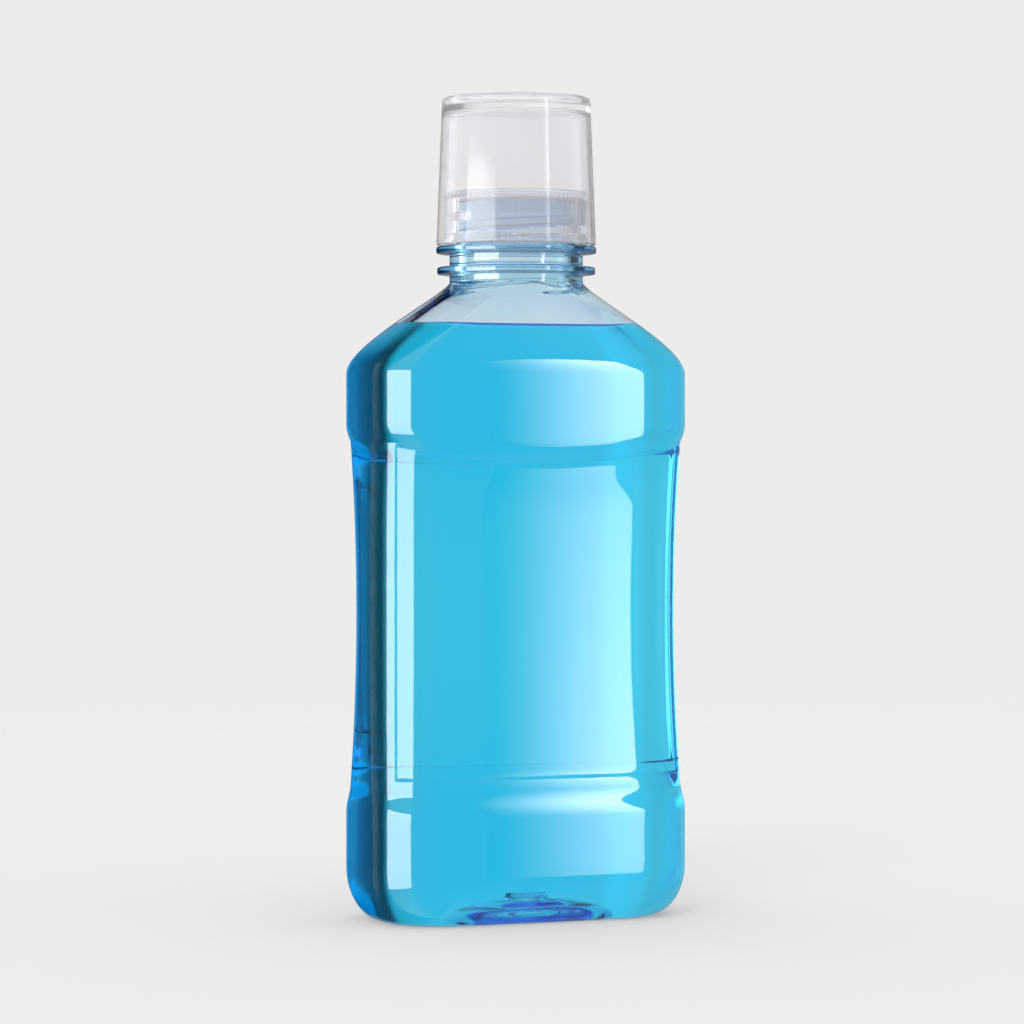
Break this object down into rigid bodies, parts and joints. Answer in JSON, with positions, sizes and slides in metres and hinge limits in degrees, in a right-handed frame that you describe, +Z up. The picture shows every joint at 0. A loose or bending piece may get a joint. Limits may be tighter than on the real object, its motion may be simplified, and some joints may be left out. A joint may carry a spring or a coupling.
{
  "type": "mouthwash bottle",
  "caption": "Clear waisted bottle of blue mouthwash with a threaded neck, a sealing liner, a ridged screw cap and a dosing cup pushed over the cap.",
  "frame": {"origin": "middle of the base, on the surface the bottle stands on", "axes": "+Z up along the neck, X across the wide front, -Y out of the front"},
  "size_m": [0.07, 0.038, 0.1717],
  "materials": {
    "clear_bottle": "gloss",
    "blue_liquid": "gloss",
    "white_foam": "matte",
    "clear_cap": "satin",
    "clear_cup": "gloss"
  },
  "bodies": {
    "bottle": {"bottle": "clear_bottle", "mouthwash": "blue_liquid"},
    "liner": {"cap_liner": "white_foam"},
    "cap": {"screw_cap": "clear_cap"},
    "cup": {"measuring_cup": "clear_cup"}
  },
  "joints": [
    {"name": "cap_rise", "type": "slide", "parent": "bottle", "child": "liner", "axis": [0, 0, 1], "range_m": [0, 0.0127]},
    {"name": "cap_turn", "type": "hinge", "parent": "liner", "child": "cap", "pos_m": [0, 0, 0.146], "axis": [0, 0, 1], "range_deg": [0, 1080]},
    {"name": "cup_pull", "type": "slide", "parent": "cap", "child": "cup", "axis": [0, 0, 1], "range_m": [0, 0.04]}
  ],
  "couplings": [
    {"joint": "cap_rise", "follows": "cap_turn", "m_per_rad": 0.0006737}
  ]
}
